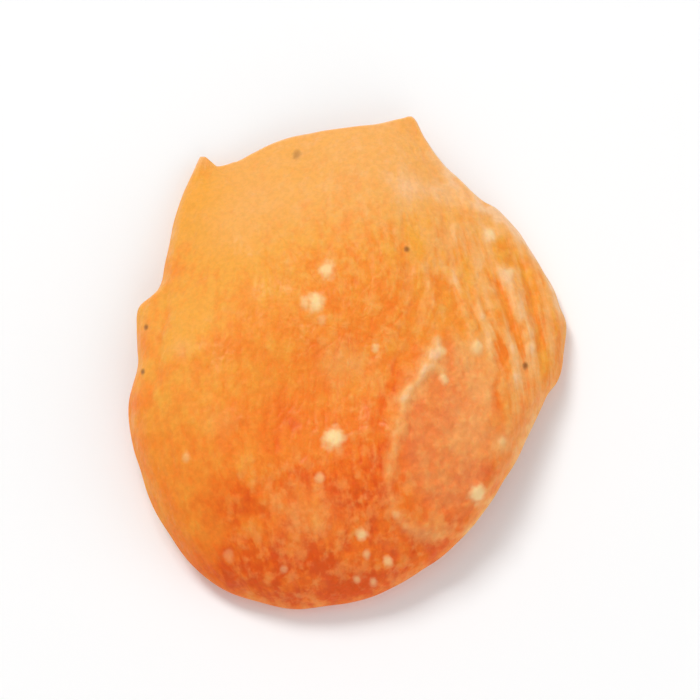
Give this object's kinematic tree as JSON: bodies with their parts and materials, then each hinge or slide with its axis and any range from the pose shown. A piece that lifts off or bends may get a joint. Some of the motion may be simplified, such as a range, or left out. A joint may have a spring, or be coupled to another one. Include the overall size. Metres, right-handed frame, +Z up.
{
  "type": "dried apricot half",
  "caption": "Stoned, flattened dried apricot half with a folded, wrinkled skin and a torn stem end, lying skin side up on its rim.",
  "frame": {"origin": "middle of the underside of the bounding box, on the surface that the fruit lies on", "axes": "+Y from the round blossom end to the torn stem end, +Z up out of the skin, +X towards the side with the close folds"},
  "size_m": [0.0362, 0.0426, 0.0083],
  "materials": {
    "apricot_flesh": null
  },
  "bodies": {
    "root": {"dried_apricot": "apricot_flesh"}
  },
  "joints": []
}
